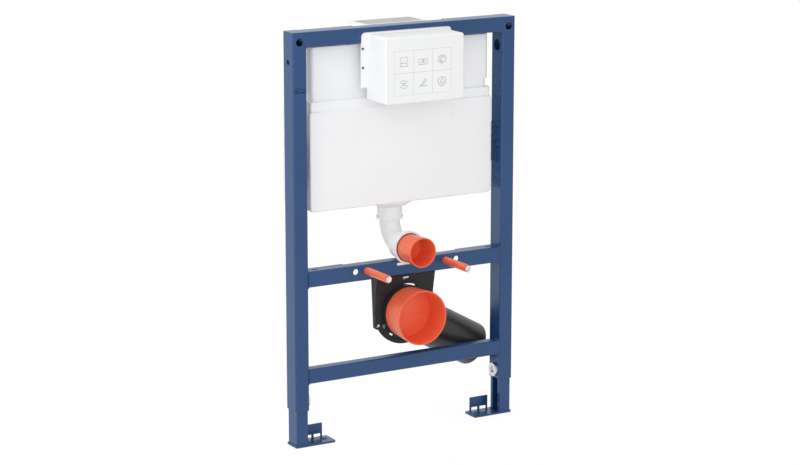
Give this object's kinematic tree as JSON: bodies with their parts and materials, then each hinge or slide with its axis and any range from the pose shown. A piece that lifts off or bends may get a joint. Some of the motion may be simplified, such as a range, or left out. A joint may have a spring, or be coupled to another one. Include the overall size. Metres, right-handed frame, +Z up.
{
  "type": "wall-hung toilet installation frame",
  "caption": "Blue steel frame on telescopic legs with a concealed cistern, service shaft, flush bend, waste bend and bowl studs.",
  "frame": {"origin": "finished floor level, on the centre line, midway between the two floor bolt holes", "axes": "+X to the right seen from the room, +Y to the wall behind, +Z up"},
  "size_m": [0.5, 0.217, 0.82],
  "materials": {
    "blue_steel": "satin powder coat",
    "zinc_steel": "zinc plated",
    "orange_plastic": "semi-gloss",
    "white_plastic": "satin moulded",
    "black_plastic": "satin moulded"
  },
  "bodies": {
    "frame": {"left_post": "blue_steel", "right_post": "blue_steel", "top_rail": "blue_steel", "fixing_rail": "blue_steel", "lower_rail": "blue_steel", "left_clamp_bolt": "zinc_steel", "right_clamp_bolt": "zinc_steel", "left_clamp_nut": "zinc_steel", "right_clamp_nut": "zinc_steel", "left_stud": "zinc_steel", "right_stud": "zinc_steel", "left_stud_nut": "zinc_steel", "right_stud_nut": "zinc_steel", "left_stud_sleeve": "orange_plastic", "right_stud_sleeve": "orange_plastic", "flush_cap": "orange_plastic", "waste_cap": "orange_plastic", "cistern_tank": "white_plastic", "cistern_hood": "white_plastic", "cistern_roof": "white_plastic", "cistern_lid": "white_plastic", "service_shaft": "white_plastic", "outlet_collar": "white_plastic", "flush_bend": "white_plastic", "flush_ring": "white_plastic", "flush_clip": "white_plastic", "left_tank_lug": "white_plastic", "right_tank_lug": "white_plastic", "left_shaft_bracket": "white_plastic", "right_shaft_bracket": "white_plastic", "waste_bend": "black_plastic", "waste_bracket": "black_plastic", "waste_collar": "black_plastic"},
    "left_foot": {"left_leg": "blue_steel", "left_foot_plate": "blue_steel"},
    "right_foot": {"right_leg": "blue_steel", "right_foot_plate": "blue_steel"}
  },
  "joints": [
    {"name": "left_leg_slide", "type": "slide", "parent": "frame", "child": "left_foot", "axis": [0, 0, -1], "range_m": [0, 0.2]},
    {"name": "right_leg_slide", "type": "slide", "parent": "frame", "child": "right_foot", "axis": [0, 0, -1], "range_m": [0, 0.2]}
  ]
}
